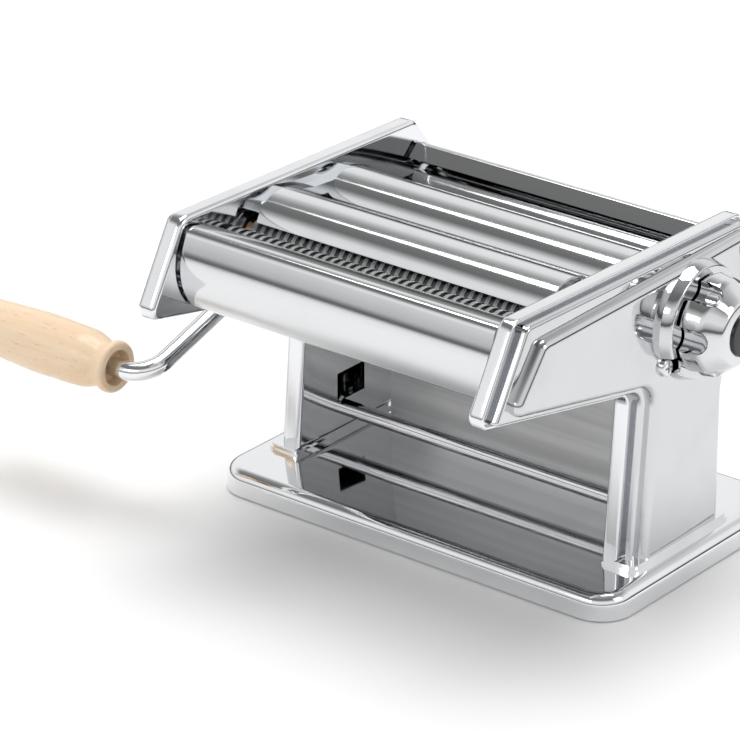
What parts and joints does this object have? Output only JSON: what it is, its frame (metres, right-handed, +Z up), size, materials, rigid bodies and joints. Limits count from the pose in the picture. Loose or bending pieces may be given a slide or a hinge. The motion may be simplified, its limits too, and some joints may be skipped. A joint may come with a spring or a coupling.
{
  "type": "hand-cranked pasta roller",
  "caption": "Table-top dough sheeter: a crank turns smooth rollers with a dial for their gap, and two pairs of grooved cutters cut noodles.",
  "frame": {"origin": "centre of the rectangle that the four feet make on the table", "axes": "+Z up, +X towards the side with the gap dial, +Y towards the smooth rollers and the back; the crank is on the -X side"},
  "size_m": [0.3154, 0.188, 0.1399],
  "materials": {
    "chrome": "polished chrome plate",
    "sheet": "polished chromed sheet",
    "roller": "ground and chromed",
    "cutter": "turned, bright",
    "steel": "satin, lightly oiled",
    "gear": "machined, greased",
    "zinc": "bright zinc plate",
    "bronze": "sintered bronze",
    "spring": "spring steel",
    "dial": "polished chrome plate",
    "cap": "gloss black",
    "guide": "natural white",
    "wood": "clear varnish on beech",
    "foot": "black"
  },
  "bodies": {
    "housing": {"base_plate": "chrome", "rubber_feet": "foot", "leg_rivets": "zinc", "left_foot_plate": "chrome", "right_foot_plate": "chrome", "left_side_plate": "sheet", "right_side_plate": "sheet", "left_cover": "chrome", "right_cover": "chrome", "cover_posts": "zinc", "cover_screws": "zinc", "front_panel": "sheet", "front_roller_cover": "sheet", "middle_roller_cover": "sheet", "rear_hood": "sheet", "back_panel": "steel", "left_end_guide": "guide", "right_end_guide": "guide", "lower_tie_rod": "zinc", "upper_tie_rods": "zinc", "tie_rod_nuts": "zinc", "roller_bushes": "bronze", "crank_ferrules": "zinc", "dial_bush": "bronze", "fine_strippers": "steel", "wide_strippers": "steel", "drive_stripper": "steel", "carriage_guides": "steel"},
    "drive_roller": {"drive_roller": "roller", "drive_gear": "gear"},
    "crank": {"crank_arm": "chrome", "grip_washer": "zinc"},
    "handle": {"handle_grip": "wood"},
    "gap_carriage": {"left_bearing_block": "steel", "right_bearing_block": "steel", "carriage_bar": "steel", "cam_follower": "steel", "front_stripper": "steel"},
    "front_roller": {"front_roller": "roller", "front_roller_gear": "gear"},
    "dial": {"dial_shaft": "steel", "dial_cam": "steel", "dial_spring": "spring"},
    "dial_knob": {"dial_knob": "dial", "dial_cap": "cap"},
    "fine_front_cutter": {"fine_front_cutter": "cutter", "fine_front_gear": "gear"},
    "fine_rear_cutter": {"fine_rear_cutter": "cutter", "fine_rear_gear": "gear"},
    "wide_front_cutter": {"wide_front_cutter": "cutter", "wide_front_gear": "gear"},
    "wide_rear_cutter": {"wide_rear_cutter": "cutter", "wide_rear_gear": "gear"}
  },
  "joints": [
    {"name": "drive_spin", "type": "hinge", "parent": "housing", "child": "drive_roller", "pos_m": [0, 0.039, 0.1055], "axis": [1, 0, 0], "continuous": true},
    {"name": "crank_pull", "type": "slide", "parent": "drive_roller", "child": "crank", "axis": [-1, 0, 0], "range_m": [0, 0.02]},
    {"name": "handle_spin", "type": "hinge", "parent": "crank", "child": "handle", "pos_m": [0, -0.0976, 0.0609], "axis": [1, 0, 0], "continuous": true},
    {"name": "dial_turn", "type": "hinge", "parent": "housing", "child": "dial", "pos_m": [0, 0.0015, 0.107], "axis": [1, 0, 0], "range_deg": [0, 300]},
    {"name": "dial_pull", "type": "slide", "parent": "dial", "child": "dial_knob", "axis": [1, 0, 0], "range_m": [0, 0.0035], "stiffness_N_per_m": 800, "springref_m": -0.002},
    {"name": "gap_slide", "type": "slide", "parent": "housing", "child": "gap_carriage", "axis": [0, -1, 0], "range_m": [0, 0.0022]},
    {"name": "front_roller_spin", "type": "hinge", "parent": "gap_carriage", "child": "front_roller", "pos_m": [0, 0.0117, 0.1055], "axis": [1, 0, 0], "continuous": true},
    {"name": "fine_front_spin", "type": "hinge", "parent": "housing", "child": "fine_front_cutter", "pos_m": [0, -0.08, 0.1186], "axis": [1, 0, 0], "continuous": true},
    {"name": "fine_rear_spin", "type": "hinge", "parent": "housing", "child": "fine_rear_cutter", "pos_m": [0, -0.0609, 0.1186], "axis": [1, 0, 0], "continuous": true},
    {"name": "wide_front_spin", "type": "hinge", "parent": "housing", "child": "wide_front_cutter", "pos_m": [0, -0.0382, 0.111], "axis": [1, 0, 0], "continuous": true},
    {"name": "wide_rear_spin", "type": "hinge", "parent": "housing", "child": "wide_rear_cutter", "pos_m": [0, -0.0191, 0.111], "axis": [1, 0, 0], "continuous": true}
  ],
  "couplings": [
    {"joint": "dial_turn", "follows": "gap_slide", "rad_per_m": 2380},
    {"joint": "front_roller_spin", "follows": "drive_spin", "ratio": -1},
    {"joint": "fine_rear_spin", "follows": "fine_front_spin", "ratio": -1},
    {"joint": "wide_rear_spin", "follows": "wide_front_spin", "ratio": -1}
  ]
}
